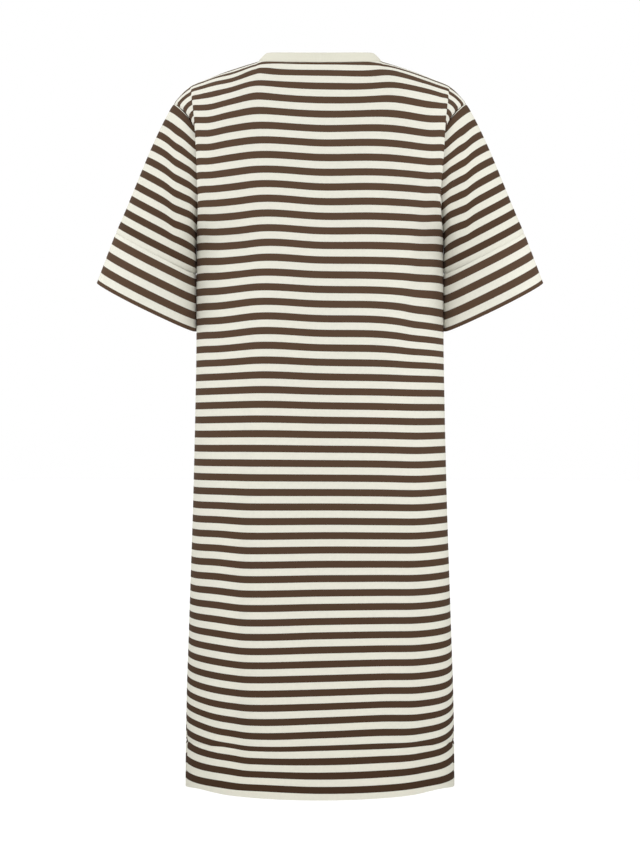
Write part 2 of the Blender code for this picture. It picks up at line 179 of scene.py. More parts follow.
# Steps in from a seam, as shares of a half panel, where the wall is finely divided
EDGE_STEPS = (0.0, 0.0015, 0.0035, 0.006, 0.010, 0.015, 0.022, 0.032)
# Even steps across a half panel, closer together over the crest
PANEL_RUNS = ((0.0, 0.72, 30), (0.74, 0.89, 22), (0.905, 0.955, 3))
PANEL_LOWER_ROWS = 92
PANEL_UPPER_ROWS = 56


def smooth_step(value):
    value = np.clip(value, 0.0, 1.0)
    return value * value * (3 - 2 * value)


def smooth_between(value, low, high):
    return smooth_step((value - low) / (high - low))


# Smooth curve through a table's rows, read at many heights
def read_table(rows, at, column):
    heights = np.array([row[0] for row in rows])
    values = np.array([getattr(row, column) for row in rows])
    slopes = np.diff(values) / np.diff(heights)
    tangents = np.zeros_like(values)
    before, after = slopes[:-1], slopes[1:]
    rising = before * after > 0
    tangents[1:-1][rising] = (2 * before * after)[rising] / (before + after)[rising]
    at = np.clip(at, heights[0], heights[-1])
    k = np.clip(np.searchsorted(heights, at, side="right") - 1, 0, len(rows) - 2)
    span = heights[k + 1] - heights[k]
    t = (at - heights[k]) / span
    value = values[k] + (3 * t ** 2 - 2 * t ** 3) * (values[k + 1] - values[k])
    return value + span * (t * (1 - t) ** 2 * tangents[k] - t ** 2 * (1 - t) * tangents[k + 1])


Panel = namedtuple("Panel", "profile folds rides side neck_depth neck_drop nape_until shoulder_from")
BACK = Panel(BACK_PROFILE, BACK_FOLDS, BACK_RIDES, -1, NECK_BACK_DEPTH, NECK_BACK_DROP, 0.00, 0.40)


# A panel's top edge, for shares of its half width from the middle: neckline, then shoulder seam
def top_edge(panel, share):
    angle = math.pi / 2 * np.minimum(share / NECK_SHARE, 1.0)
    neck_height = NECK_SIDE_HEIGHT - panel.neck_drop * np.cos(angle).clip(0) ** NECK_FALL_POWER
    neck_depth = panel.side * (panel.neck_depth * np.cos(angle) + HALF_GAP)
    neck = np.stack((NECK_HALF_WIDTH * np.sin(angle), neck_depth, neck_height), axis=-1)
    last = len(SHOULDER_SEAM) - 1
    along = np.clip((share - NECK_SHARE) / (1 - NECK_SHARE), 0, 1) * last
    first = np.minimum(along.astype(int), last - 1)
    t = (along - first)[..., None]
    seam = np.array(SHOULDER_SEAM)
    knots = [seam[np.clip(first + k, 0, last)] for k in (-1, 0, 1, 2)]
    shoulder = -t * (1 - t) ** 2 / 2 * knots[0] + (1 + t * t * (3 * t - 5) / 2) * knots[1]
    shoulder = shoulder + t * (1 + t * (4 - 3 * t)) / 2 * knots[2] - t * t * (1 - t) / 2 * knots[3]
    shoulder[..., 1] += panel.side * HALF_GAP
    return np.where((share <= NECK_SHARE)[..., None], neck, shoulder)


def rounding(panel, share, drop):
    shoulder = np.clip(drop / SHOULDER_ROUNDING, 0, 1)
    nape = np.clip(drop / NAPE_ROUNDING, 0, 1)
    over_shoulder = np.sqrt(1 - (1 - shoulder) ** 2)
    over_nape = 1 - (1 - nape) ** NAPE_POWER
    blend = smooth_between(share, panel.nape_until, panel.shoulder_from)
    return over_nape + (over_shoulder - over_nape) * blend


def fold_relief(folds, across, height):
    relief = np.zeros_like(across)
    for fold in folds:
        along = (fold.top_height - height) / (fold.top_height - fold.bottom_height)
        centre = fold.top_across + (fold.bottom_across - fold.top_across) * along
        from_ends = np.minimum(fold.top_height - height, height - fold.bottom_height)
        fade = smooth_step(1 + from_ends / FOLD_FADE)
        relief += fold.depth * fade * np.exp(-(((across - centre) / fold.width) ** 2))
    return relief


def crest_relief(share, height):
    from_crest = share - CREST.share
    across = np.where(from_crest < 0, from_crest / CREST.rise, from_crest / CREST.fall)
    below_top = smooth_step((CREST.top - height) / CREST_TOP_FADE)
    above_bottom = smooth_step((height - CREST.bottom) / CREST_BOTTOM_FADE)
    return CREST.height * below_top * above_bottom * np.exp(-(across ** 2))


# Heights up a panel: climb runs from -1 at the hem through 0 at the armpit to 1 at the top edge
def panel_heights(panel, share, climb):
    top = top_edge(panel, np.abs(share))[..., 2]
    above = ARMPIT_HEIGHT + climb * (top - ARMPIT_HEIGHT)
    below = ARMPIT_HEIGHT + climb * (ARMPIT_HEIGHT - HEM_HEIGHT)
    below_seam = np.clip((HEM_SEAM_HEIGHT - below) / HEM_BAND_DEPTH, 0, 1)
    lift = HEM_LIFT * np.exp(-(((np.abs(share) - HEM_LIFT_SHARE) / HEM_LIFT_SPREAD) ** 2))
    below = below + below_seam * (lift - HEM_DIP * np.cos(share * math.pi / 2) ** 3)
    return np.where(climb > 0, above, below)


def panel_points(panel, share, climb, folded=True):
    part = np.abs(share)
    hand = np.where(share >= 0, 1, -1)
    top = top_edge(panel, part)
    height = panel_heights(panel, share, climb)
    half_width = read_table(WIDTHS, height, "half_width")
    turn = read_table(panel.profile, height, "turn")
    reach = read_table(panel.profile, height, "middle") - turn
    angle = part * np.arccos((read_table(panel.profile, height, "edge") - turn) / reach)
    out = half_width * np.sin(angle)
    relief = fold_relief(panel.folds, hand * out, height) if folded else 0.0
    relief = relief * (1 - smooth_between(part, *FOLD_SIDE_FADE))
    out = out + relief * np.sin(angle)
    depth = panel.side * (turn + (reach + relief) * np.cos(angle))
    lean = np.clip(climb, 0, 1) ** LEAN_POWER
    out = out + (top[..., 0] - out) * lean
    rounded = top[..., 1] + (depth - top[..., 1]) * rounding(panel, part, top[..., 2] - height)
    depth = np.where(climb > 0, rounded, depth)
    if folded:
        crest = crest_relief(part, height)
        out = out + crest * 0.5
        depth = depth + panel.side * crest
    return np.stack((hand * out, depth, height), axis=-1)


# Lengths along the cloth from its first row or column
def run_lengths(points, axis):
    steps = np.linalg.norm(np.diff(points, axis=axis), axis=2)
    zero = np.zeros_like(np.take(steps, [0], axis=axis))
    return np.concatenate((zero, np.cumsum(steps, axis=axis)), axis=axis)


def outward_normals(points, cyclic=False):
    along = np.gradient(points, axis=0)
    if cyclic:
        along[0] = along[-1] = points[1] - points[-2]
    normals = np.cross(along, np.gradient(points, axis=1))
    return normals / np.linalg.norm(normals, axis=2, keepdims=True)


def seam_dip(distance, roll=SEAM_ROLL):
    return -SEAM_DIP * np.exp(-((distance / roll) ** 2))


# A grid added with its operator, then given its points and the flat cloth's own coordinates
def cloth_grid(name, points, flat, thickness, closed=False):
    columns, rows = points.shape[0] - 1, points.shape[1] - 1
    bpy.ops.object.select_all(action="DESELECT")
    bpy.ops.mesh.primitive_grid_add(x_subdivisions=columns, y_subdivisions=rows, size=2)
    cloth = bpy.context.object
    cloth.name = cloth.data.name = name
    mesh = cloth.data
    place = np.empty(len(mesh.vertices) * 3)
    mesh.vertices.foreach_get("co", place)
    place = place.reshape(-1, 3)
    i = np.rint((place[:, 0] + 1) / 2 * columns).astype(int)
    j = np.rint((place[:, 1] + 1) / 2 * rows).astype(int)
    mesh.vertices.foreach_set("co", points[i, j].ravel())
    corner = np.empty(len(mesh.loops), dtype=int)
    mesh.loops.foreach_get("vertex_index", corner)
    mesh.uv_layers.active.data.foreach_set("uv", flat[i[corner], j[corner]].ravel())
    mesh.update()
    if closed:
        bpy.ops.object.mode_set(mode="EDIT")
        bpy.ops.mesh.select_all(action="SELECT")
        bpy.ops.mesh.remove_doubles(threshold=0.00001)
        bpy.ops.object.mode_set(mode="OBJECT")
    wall = cloth.modifiers.new("wall", "SOLIDIFY")
    wall.thickness = thickness
    wall.offset = -1
    wall.use_even_offset = True
    bpy.ops.object.modifier_apply(modifier=wall.name)
    bpy.ops.object.shade_smooth_by_angle(angle=math.radians(50))
    return cloth


def panel_shares(panel):
    steps = np.array(EDGE_STEPS)
    inner = np.concatenate([np.linspace(*run) for run in PANEL_RUNS])
    half = np.concatenate((inner, 1 - steps[::-1]))
    return np.concatenate((-half[:0:-1], half)) * -panel.side


def panel_climbs():
    seam = (HEM_SEAM_HEIGHT + HEM_SEAM_HALF_GAP - ARMPIT_HEIGHT) / (ARMPIT_HEIGHT - HEM_HEIGHT)
    steps = np.array(EDGE_STEPS)
    lower = np.concatenate((seam + steps / 4, np.linspace(seam + steps[-1] / 3, 0, PANEL_LOWER_ROWS)))
    upper = 1 - (1 - np.linspace(0, 1 - steps[-1], PANEL_UPPER_ROWS)[1:]) ** 1.25
    top = 1 - steps[::-1] / 3
    return np.concatenate((lower, upper[upper < top[0] - 0.004], top))


# How far the stripes ride above their plain level, by smooth curves across and up the panel
def ride(panel, share, level):
    stations = np.array(RIDE_SHARES)
    rides = np.stack([read_table(panel.rides, level, column) for column in Ride._fields[1:]])
    slopes = np.gradient(rides, stations, axis=0)
    k = np.clip(np.searchsorted(stations, share, side="right") - 1, 0, len(stations) - 2)
    span = np.diff(stations)[k]
    t = (share - stations[k]) / span
    low, high = np.take_along_axis(rides, np.stack((k, k + 1)), axis=0)
    low_slope, high_slope = np.take_along_axis(slopes, np.stack((k, k + 1)), axis=0) * span
    bend = t * (1 - t) ** 2 * low_slope - t ** 2 * (1 - t) * high_slope
    return (low + (3 * t ** 2 - 2 * t ** 3) * (high - low) + bend) / 1000


# The flat cloth's level lines: heights below the armpit, lengths up the cloth above it
def level_lines(panel, share, climb):
    smooth = panel_points(panel, share, climb, folded=False)
    up = run_lengths(smooth, axis=1)
    at_armpit = np.argmin(np.abs(climb[0]))
    level = ARMPIT_HEIGHT + up - up[:, at_armpit][:, None]
    level = np.where(climb > 0, level, smooth[..., 2])
    from_crest = np.abs(share) - CREST.share
    curl = CREST_CURL * np.exp(-((from_crest / CREST.rise) ** 2)) * (from_crest < 0)
    tuck = CREST_TUCK * smooth_step(from_crest / CREST.fall)
    tuck = tuck * np.exp(-((from_crest / CREST_TUCK_SPREAD) ** 2))
    high = smooth_between(smooth[..., 2], *CREST_TUCK_HEIGHTS)
    return level - ride(panel, share, level) + (tuck - curl) * high


def panel_cloth(name, panel):
    share, climb = np.meshgrid(panel_shares(panel), panel_climbs(), indexing="ij")
    points = panel_points(panel, share, climb)
    across = run_lengths(points, axis=0)
    up = run_lengths(points, axis=1)
    height = points[..., 2]
    from_side = np.minimum(across, across[-1] - across)
    from_ends = np.minimum(up, up[:, -1][:, None] - up)
    below_armpit = smooth_step((ARMPIT_HEIGHT - height) / SIDE_SEAM_FADE)
    above_slit = smooth_step((height - SLIT_TOP_HEIGHT) / SLIT_FADE)
    sewn_side = above_slit * (1 - SIDE_SEAM_FLATNESS * below_armpit)
    relief = seam_dip(from_side) * sewn_side + seam_dip(from_ends)
    points = points + relief[..., None] * outward_normals(points)
    middle = across[len(across) // 2]
    flat = np.stack((across - middle, level_lines(panel, share, climb)), axis=-1)
    return cloth_grid(name, points, flat, JERSEY_THICKNESS)


back_panel = panel_cloth("back_panel_cloth", BACK)


# One socket's value in a material's node tree, which Python's own operators combine
class Value:
    def __init__(self, finish, socket):
        self.finish = finish
        self.socket = socket

    def math(self, operation, *others):
        sockets = dict(enumerate((self, *others)))
        return self.finish.value("ShaderNodeMath", {"operation": operation}, sockets)

    def __add__(self, other):
        return self.math("ADD", other)

    def __mul__(self, other):
        return self.math("MULTIPLY", other)

    def __sub__(self, other):
        return self.math("SUBTRACT", other)

    def __rsub__(self, other):
        return self.math("MULTIPLY", -1.0) + other

    def __truediv__(self, other):
        return self.math("DIVIDE", other)

    __radd__ = __add__
    __rmul__ = __mul__

    def part(self):
        return self.math("FRACT")

    def size(self):
        return self.math("ABSOLUTE")

    def wave(self):
        return (self * math.tau).math("SINE")

    def eased(self, low, high):
        sockets = {"Value": self, "From Min": low, "From Max": high, "To Min": 0.0, "To Max": 1.0}
        return self.finish.value("ShaderNodeMapRange", {"interpolation_type": "SMOOTHSTEP"}, sockets)


class Finish:
    def __init__(self, name):
        self.material = bpy.data.materials.new(name)
        self.material.use_nodes = True
        self.tree = self.material.node_tree
        self.shader = self.tree.nodes["Principled BSDF"]

    def node(self, kind, settings, sockets):
        made = self.tree.nodes.new(kind)
        for key, setting in settings.items():
            setattr(made, key, setting)
        self.fill(made, sockets)
        return made

    def fill(self, made, sockets):
        for key, value in sockets.items():
            if isinstance(value, Value):
                self.tree.links.new(value.socket, made.inputs[key])
            else:
                made.inputs[key].default_value = value

    def value(self, kind, settings, sockets, output=0):
        return Value(self, self.node(kind, settings, sockets).outputs[output])

    def mix(self, share, first, second):
        return self.value("ShaderNodeMix", {"data_type": "RGBA"}, {0: share, 6: first, 7: second}, 2)

    def multiply(self, first, second):
        settings = {"data_type": "RGBA", "blend_type": "MULTIPLY"}
        return self.value("ShaderNodeMix", settings, {0: 1.0, 6: first, 7: second}, 2)

    # Where a point lies on the flat cloth: across it and up it, in metres
    def flat_cloth(self):
        place = self.value("ShaderNodeTexCoord", {}, {}, 2)
        parted = self.node("ShaderNodeSeparateXYZ", {}, {0: place})
        return place, Value(self, parted.outputs[0]), Value(self, parted.outputs[1])

    def cloud(self, place, scale):
        return self.value("ShaderNodeTexNoise", {}, {"Vector": place, "Scale": scale, "Detail": 2.0})


# Striped jersey: stitches in upright rows of small Vs, ten courses of each colour or so
STRIPE_PITCH = 0.020
STITCH_WIDTH = 0.00125
STITCH_HEIGHT = 0.00095
STITCH_RELIEF = 0.00022
# Painted shade: the brown and the cream are lighter over the shoulders and darker towards the hem, where
# the light falls off downwards
BROWN_LIT_TOP = (0.089, 0.054, 0.034, 1)
BROWN_PAINTED_SHADE_HEM = (0.042, 0.0225, 0.0120, 1)
CREAM_LIT_TOP = (0.708, 0.696, 0.614, 1)
CREAM_PAINTED_SHADE_HEM = (0.632, 0.617, 0.530, 1)
PAINTED_SHADE_HEIGHTS = (-1.03, -0.26)
# Darker and lighter tones of the yarn: its random mottle, plus painted shade between the stitch loops and
# painted highlight on them
YARN_DARK_AND_STITCH_SHADE = (0.86, 0.86, 0.86, 1)
YARN_LIGHT_AND_STITCH_HIGHLIGHT = (1.07, 1.07, 1.07, 1)


def knit_relief(finish, across, up):
    row = (across / STITCH_WIDTH).part() - 0.5
    leg = row.size()
    course = up / STITCH_HEIGHT + leg * 1.2
    loop = course.wave() * 0.5 + 0.5
    return loop * (1 - (leg * 2 - 0.5).size() * 0.9), leg


def striped_jersey():
    finish = Finish("striped_jersey")
    place, across, up = finish.flat_cloth()
    relief, leg = knit_relief(finish, across, up)
    drift = finish.cloud(place, 9.0) - 0.5
    level = up + leg * STITCH_HEIGHT + drift * 0.0006
    from_brown = ((level / STRIPE_PITCH + 0.5).part() - 0.5).size() * 2
    cream = from_brown.eased(0.485, 0.515)
    mottle = finish.cloud(place, 260.0)
    # Painted shade: both yarns' colours darken from below the armpit down to the hem
    fade = ((up - PAINTED_SHADE_HEIGHTS[0]) / (PAINTED_SHADE_HEIGHTS[1] - PAINTED_SHADE_HEIGHTS[0])).math("SQRT")
    brown_with_painted_shade = finish.mix(fade, BROWN_PAINTED_SHADE_HEM, BROWN_LIT_TOP)
    cream_with_painted_shade = finish.mix(fade, CREAM_PAINTED_SHADE_HEM, CREAM_LIT_TOP)
    # The yarn's tone varies at random. Its colour is also painted darker in the hollows between stitch
    # loops and lighter on their crests: painted shade and painted highlight
    shade = finish.mix(mottle * 0.5 + relief * 0.5, YARN_DARK_AND_STITCH_SHADE, YARN_LIGHT_AND_STITCH_HIGHLIGHT)
    colour = finish.multiply(finish.mix(cream, brown_with_painted_shade, cream_with_painted_shade), shade)
    fuzz = finish.cloud(place, 900.0)
    bump = finish.value(
        "ShaderNodeBump", {}, {"Strength": 0.35, "Distance": STITCH_RELIEF, "Height": relief + fuzz * 0.4}
    )
    finish.fill(finish.shader, {
        "Base Color": colour,
        "Roughness": 0.9,
        "Specular IOR Level": 0.04,
        "Diffuse Roughness": 0.25,
        "Sheen Weight": 0.01,
        "Sheen Roughness": 0.5,
        "Normal": bump,
    })
    return finish.material


STRIPED_JERSEY = striped_jersey()


def dress_in(cloth, material, slot, *nodes):
    cloth.data.materials.clear()
    cloth.data.materials.append(material)
    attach(cloth, "root")
    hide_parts(*nodes)


dress_in(back_panel, STRIPED_JERSEY, "striped_jersey", "back_panel")


# Front panel
# The same jersey and cut as the back, with a lower round neckline. It is sewn to the back
# along the shoulders and sides, down to the side slits.

FRONT_PROFILE = [
    Profile(HEM_HEIGHT, 0.1120, 0.000, -0.0010),
    Profile(-0.990, 0.1109, 0.000, -0.0178),
    Profile(HEM_SEAM_HEIGHT, 0.1100, 0.000, -0.0194),
    Profile(SLIT_TOP_HEIGHT, 0.1090, 0.000, -0.0150),
    Profile(SEAM_TWIST_HEIGHT, 0.1082, 0.000, HALF_GAP),
    Profile(-0.780, 0.1070, 0.000, HALF_GAP),
    Profile(-0.580, 0.103, 0.000, HALF_GAP),
    Profile(-0.430, 0.104, 0.000, HALF_GAP),
    Profile(-0.330, 0.112, 0.000, HALF_GAP),
    Profile(ARMPIT_HEIGHT, 0.114, 0.000, HALF_GAP),
    Profile(-0.230, 0.113, 0.030, 0.021),
    Profile(-0.190, 0.111, 0.050, 0.044),
    Profile(-0.150, 0.108, 0.056, 0.050),
    Profile(-0.100, 0.105, 0.056, 0.050),
]
FRONT_FOLDS = [
    Fold(-0.150, -0.190, -0.110, -0.380, 0.016, -0.0045),
    Fold(0.154, -0.200, 0.118, -0.400, 0.016, -0.0040),
    Fold(0.100, -0.330, 0.116, -0.950, 0.020, -0.0035),
    Fold(-0.092, -0.400, -0.108, -1.000, 0.022, -0.0035),
    Fold(0.020, -0.420, 0.030, -0.980, 0.030, 0.0030),
    Fold(-0.050, -0.130, -0.030, -0.260, 0.026, -0.0025),
]
FRONT_RIDES = [
    Ride(-1.012, 5.8, 5.0, 4.0, 3.0, 2.0, 1.5, 3.0, 4.5, 5.5, 6.0),
    Ride(-0.985, 12.5, 7.0, 2.5, 1.0, 1.0, 1.0, 1.0, 3.0, 7.0, 11.8),
    Ride(-0.960, 20.0, 8.0, 1.0, -1.0, -1.0, 0.0, -1.0, 2.0, 8.0, 18.0),
    Ride(-0.920, 13.0, 2.5, -1.0, -2.5, -2.5, -1.0, -3.0, 0.0, 3.0, 13.0),
    Ride(-0.720, -4.0, -5.0, -6.0, -5.5, -5.0, -5.0, -6.0, -5.5, -4.5, -3.5),
    Ride(-0.460, -8.0, -8.0, -7.0, -6.0, -5.5, -6.0, -4.5, -5.0, -5.5, -5.5),
    Ride(-0.340, -10.0, -9.0, -8.0, -6.0, -5.0, -5.0, -3.0, -6.0, -7.0, -7.0),
    Ride(-0.260, -2.0, -2.0, -3.0, -2.5, -2.0, -4.0, -1.0, -2.5, -1.0, -1.0),
    Ride(-0.140, 3.0, 3.0, -1.0, 0.0, 1.0, -2.0, 1.5, -0.5, 3.0, 3.0),
    Ride(-0.060, 2.0, 2.0, 1.0, 2.0, 3.0, 0.0, 4.0, 1.0, 2.0, 2.0),
    Ride(0.005, 2.0, 2.0, 5.0, 7.0, 8.0, 0.0, 9.0, 5.0, 2.0, 2.0),
]
NECK_FRONT_DEPTH = 0.090
NECK_FRONT_DROP = 0.085
FRONT = Panel(FRONT_PROFILE, FRONT_FOLDS, FRONT_RIDES, 1, NECK_FRONT_DEPTH, NECK_FRONT_DROP, 0.05, 0.45)
front_panel = panel_cloth("front_panel_cloth", FRONT)
dress_in(front_panel, STRIPED_JERSEY, "striped_jersey", "front_panel")


# Hem bands
# A deep doubled band on each panel. Its seam takes in part of a brown stripe, and its ends
# are free below the side slits.

DOUBLED_THICKNESS = 0.0022
HEM_ROWS = 22
# Depth of cloth that the hem band's seam takes in
HEM_TAKE_UP = 0.0024


def hem_cloth(name, panel):
    top = (HEM_SEAM_HEIGHT - HEM_SEAM_HALF_GAP - ARMPIT_HEIGHT) / (ARMPIT_HEIGHT - HEM_HEIGHT)
    steps = np.array(EDGE_STEPS) / 4
    inner = np.linspace(-1 + steps[-1], top - steps[-1], HEM_ROWS)[1:-1]
    climbs = np.concatenate((-1 + steps, inner, top - steps[::-1]))
    share, climb = np.meshgrid(panel_shares(panel), climbs, indexing="ij")
    points = panel_points(panel, share, climb)
    up = run_lengths(points, axis=1)
    across = run_lengths(points, axis=0)
    points = points + seam_dip(up[:, -1][:, None] - up)[..., None] * outward_normals(points)
    level = level_lines(panel, share, climb) - HEM_TAKE_UP
    flat = np.stack((across - across[len(across) // 2], level), axis=-1)
    return cloth_grid(name, points, flat, DOUBLED_THICKNESS)


for node, panel in (("hem_band_back", BACK), ("hem_band_front", FRONT)):
    hem_band = hem_cloth(node + "_cloth", panel)
    dress_in(hem_band, STRIPED_JERSEY, "striped_jersey", node)


# Sleeves
# Wide sleeves of the same jersey, set to the dropped armhole. They hang outwards and down,
# and their upper edge is hidden behind the back panel's crest.

Ring = namedtuple("Ring", "outer_x outer_height inner_x inner_height half_depth back_sag")
CUFF_SEAM = Ring(0.2915, -0.2385, 0.1764, -0.2975, 0.058, 0.0043)
CAP_DIRECTION = (0.505, -0.863)
ARMPIT_DIRECTION = (0.06, -1.00)
SLEEVE_DIRECTION = (0.42, -0.91)
ARMPIT_SHARE = 0.16
# The sleeve's upper edge lies this far inside the panels' edges
TUCK_CLEARANCE = 0.0014
ARMHOLE_SAMPLES = 400
SLEEVE_COLUMNS = 96
SLEEVE_ROWS = 44
# The sleeves' stripes are counted from far down the cloth, where the painted shade makes their colour a
# little darker
SLEEVE_STRIPE_START = 0.7732
# Stripes crowd where the cap's cloth is eased into the armhole
CAP_EASE = 0.0068
CAP_EASE_DEPTH = 0.025
CAP_EASE_HEIGHTS = (-0.115, -0.085)
# Towards the body the stripes drop, where the sleeve's cloth sinks behind the crest
SLEEVE_DROP = 0.0102
SLEEVE_DROP_FROM = 0.235
SLEEVE_DROP_TO = 0.177
SLEEVE_DROP_START = 0.014
SLEEVE_DROP_RISE = 0.150
# Soft upright folds down the back and the front of a sleeve: how far out each lies, how deep it
# is, and how far the stripes drop over it
SleeveFold = namedtuple("SleeveFold", "out top bottom width depth drop")
SLEEVE_FOLDS = [
    SleeveFold(0.2105, -0.105, -0.225, 0.007, -0.0010, 0.0000),
    SleeveFold(0.2055, -0.095, -0.250, 0.008, 0.0000, 0.0016),
    SleeveFold(0.1820, -0.140, -0.245, 0.008, 0.0006, -0.0018),
]
SLEEVE_FOLD_FADE = 0.030
# The cuff's seam is pressed flatter, so that only a thin line of it shows
CUFF_SEAM_ROLL = 0.0015


# Half of an armhole from the top of the shoulder to the armpit, at even steps of its length
def armhole_half(panel, count):
    climb = np.linspace(1, 0, ARMHOLE_SAMPLES)
    path = panel_points(panel, np.full_like(climb, -1.0), climb)
    steps = np.linalg.norm(np.diff(path, axis=0), axis=1)
    lengths = np.concatenate(([0], np.cumsum(steps)))
    wanted = np.linspace(0, lengths[-1], count + 1)
    return np.stack([np.interp(wanted, lengths, path[:, k]) for k in range(3)], axis=-1)


def armhole_loop():
    half = SLEEVE_COLUMNS // 2
    back = armhole_half(BACK, half)
    front = armhole_half(FRONT, half)
    loop = np.concatenate((back, front[::-1][1:]))
    loop[0] = loop[-1] = (back[0] + front[0]) / 2
    loop[half] = (back[-1] + front[-1]) / 2
    return loop


def sleeve_ring(ring):
    angle = np.linspace(0, math.tau, SLEEVE_COLUMNS + 1)[:, None]
    centre = np.array((-(ring.outer_x + ring.inner_x) / 2, 0, (ring.outer_height + ring.inner_height) / 2))
    across = np.array((-ring.outer_x, 0, ring.outer_height)) - centre
    down = np.array((-SLEEVE_DIRECTION[0], 0, SLEEVE_DIRECTION[1]))
    back = down * ring.back_sag + np.array((0, -ring.half_depth, 0))
    return centre + across * np.cos(angle) + back * np.sin(angle)


def sleeve_points():
    start = armhole_loop()
    end = sleeve_ring(CUFF_SEAM)
    cap = np.array((-CAP_DIRECTION[0], 0, CAP_DIRECTION[1]))
    armpit = np.array((-ARMPIT_DIRECTION[0], 0, ARMPIT_DIRECTION[1]))
    down = np.array((-SLEEVE_DIRECTION[0], 0, SLEEVE_DIRECTION[1]))
    from_armpit = np.abs(np.arange(SLEEVE_COLUMNS + 1) * 2 / SLEEVE_COLUMNS - 1)
    near_armpit = smooth_step(1 - from_armpit / ARMPIT_SHARE)[:, None]
    leave = cap + (armpit - cap) * near_armpit
    arrive = down + (armpit - down) * near_armpit
    chord = np.linalg.norm(end - start, axis=1, keepdims=True)
    start = start + leave * SEAM_GAP * 1.5
    start[:, 1] -= TUCK_CLEARANCE * np.clip(start[:, 1] / 0.03, -1, 1)
    end = end - arrive * HALF_GAP
    steps = np.array(EDGE_STEPS) / 2
    inner = np.linspace(steps[-1], 1 - steps[-1], SLEEVE_ROWS)[1:-1]
    rows = []
    for t in np.concatenate((steps, inner, 1 - steps[::-1])):
        rise = 3 * t * t - 2 * t ** 3
        push = t * (1 - t) ** 2 * leave - t * t * (1 - t) * arrive
        rows.append(start + rise * (end - start) + chord * push)
    return np.stack(rows[::-1], axis=1)


# A sleeve piece on one side, from the points of the one on the -X side. It is cut open at the
# underarm seam, and its cloth is measured from the line down its outer side.
def tube_cloth(name, points, level, thickness, mirrored):
    half = len(points) // 2
    from_underarm = np.concatenate((np.arange(half, len(points) - 1), np.arange(half + 1)))
    points, level = points[from_underarm], level[from_underarm]
    around = run_lengths(points, axis=0)
    flat = np.stack((around - around[half], level), axis=-1)
    if mirrored:
        points = points[::-1] * np.array((-1, 1, 1))
        flat = flat[::-1]
    return cloth_grid(name, points, flat, thickness, closed=True)


# Nearness to the body, from 0 in the middle of the sleeve to 1 beside the body
def nearness(points):
    inwards = SLEEVE_DROP_FROM + points[..., 0]
    return np.clip(inwards / (SLEEVE_DROP_FROM - SLEEVE_DROP_TO), 0, 1) ** 2


for hand, mirrored in (("left", False), ("right", True)):
    points = sleeve_points()
    up = run_lengths(points, axis=1)
    level = up - SLEEVE_STRIPE_START
    near_body = nearness(points)
    level = level + SLEEVE_DROP * near_body * smooth_step((up - SLEEVE_DROP_START) / SLEEVE_DROP_RISE)
    from_seam = up[:, -1][:, None] - up
    over_cap = smooth_between(points[..., 2], *CAP_EASE_HEIGHTS) * (1 - near_body)
    level = level - CAP_EASE * over_cap * smooth_step(1 - from_seam / CAP_EASE_DEPTH)
    relief = seam_dip(from_seam) + seam_dip(up, CUFF_SEAM_ROLL)
    for fold in SLEEVE_FOLDS:
        height = points[..., 2]
        from_ends = np.minimum(fold.top - height, height - fold.bottom)
        on_fold = np.exp(-(((fold.out + points[..., 0]) / fold.width) ** 2))
        on_fold = on_fold * smooth_step(0.5 + from_ends / SLEEVE_FOLD_FADE)
        relief = relief + fold.depth * on_fold
        level = level + fold.drop * on_fold
    points = points + relief[..., None] * outward_normals(points, True)
    sleeve = tube_cloth("sleeve_" + hand + "_cloth", points, level, JERSEY_THICKNESS, mirrored)
    dress_in(sleeve, STRIPED_JERSEY, "striped_jersey", "sleeve_" + hand)


# Cuffs
# A deep doubled cuff on each sleeve, joined by a seam that lies in a cream stripe, so that
# the cream is wider there. Its edge cuts through a brown stripe.

CUFF_EDGE = Ring(0.3185, -0.3095, 0.1764, -0.3792, 0.050, 0.0056)
CUFF_ROWS = 22
CUFF_STRIPE_START = -0.0097
CUFF_CLOTH_DEPTH = 0.070
CUFF_DROP = 0.0008


def cuff_points():
    start = sleeve_ring(CUFF_SEAM)
    end = sleeve_ring(CUFF_EDGE)
    start = start + np.array((-SLEEVE_DIRECTION[0], 0, SLEEVE_DIRECTION[1])) * HALF_GAP
    steps = np.array(EDGE_STEPS) * 1.5
    inner = np.linspace(steps[-1], 1 - steps[-1], CUFF_ROWS)[1:-1]
    parts = np.concatenate((steps, inner, 1 - steps[::-1]))
    return np.stack([start + t * (end - start) for t in parts[::-1]], axis=1)


for hand, mirrored in (("left", False), ("right", True)):
    points = cuff_points()
    up = run_lengths(points, axis=1)
    level = (up / up[:, -1][:, None] - 1) * CUFF_CLOTH_DEPTH - CUFF_STRIPE_START
    level = level + CUFF_DROP * nearness(points)
    dip = seam_dip(up[:, -1][:, None] - up, CUFF_SEAM_ROLL)
    points = points + dip[..., None] * outward_normals(points, True)
    cuff = tube_cloth("cuff_" + hand + "_cloth", points, level, DOUBLED_THICKNESS, mirrored)
    dress_in(cuff, STRIPED_JERSEY, "striped_jersey", "cuff_" + hand)


# Neckband
# A band of fine cream rib, folded double and sewn round the neckline. It stands up behind
# the neck and leans in a little.

BAND_TOP_HALF_WIDTH = 0.0765
BAND_TOP_HEIGHT = 0.018
BAND_BACK_DEPTH = 0.064
BAND_BACK_DROP = 0.0085
BAND_FRONT_DEPTH = 0.079
BAND_FRONT_DROP = 0.079
BAND_BULGE = 0.0012
RIB_THICKNESS = 0.0025
FOLDED_EDGE = 0.0010
NECKBAND_COLUMNS = 160
NECKBAND_ROWS = 14
# The band's foot starts a little below the neckline, as a share of its depth
NECKBAND_START = -0.03
RIB_PITCH = 0.0021
RIB_RELIEF = 0.0004
RIB_CREAM = (0.655, 0.643, 0.550, 1)
RIB_SHADED = (0.605, 0.591, 0.500, 1)


def neck_curve(angle, half_width, side_height, back, front):
    swing = np.cos(angle)
    depth = np.where(swing > 0, back[0], front[0])
    drop = np.where(swing > 0, back[1], front[1])
    height = side_height - drop * np.abs(swing) ** NECK_FALL_POWER
    return np.stack((half_width * np.sin(angle), -depth * swing, height), axis=-1)


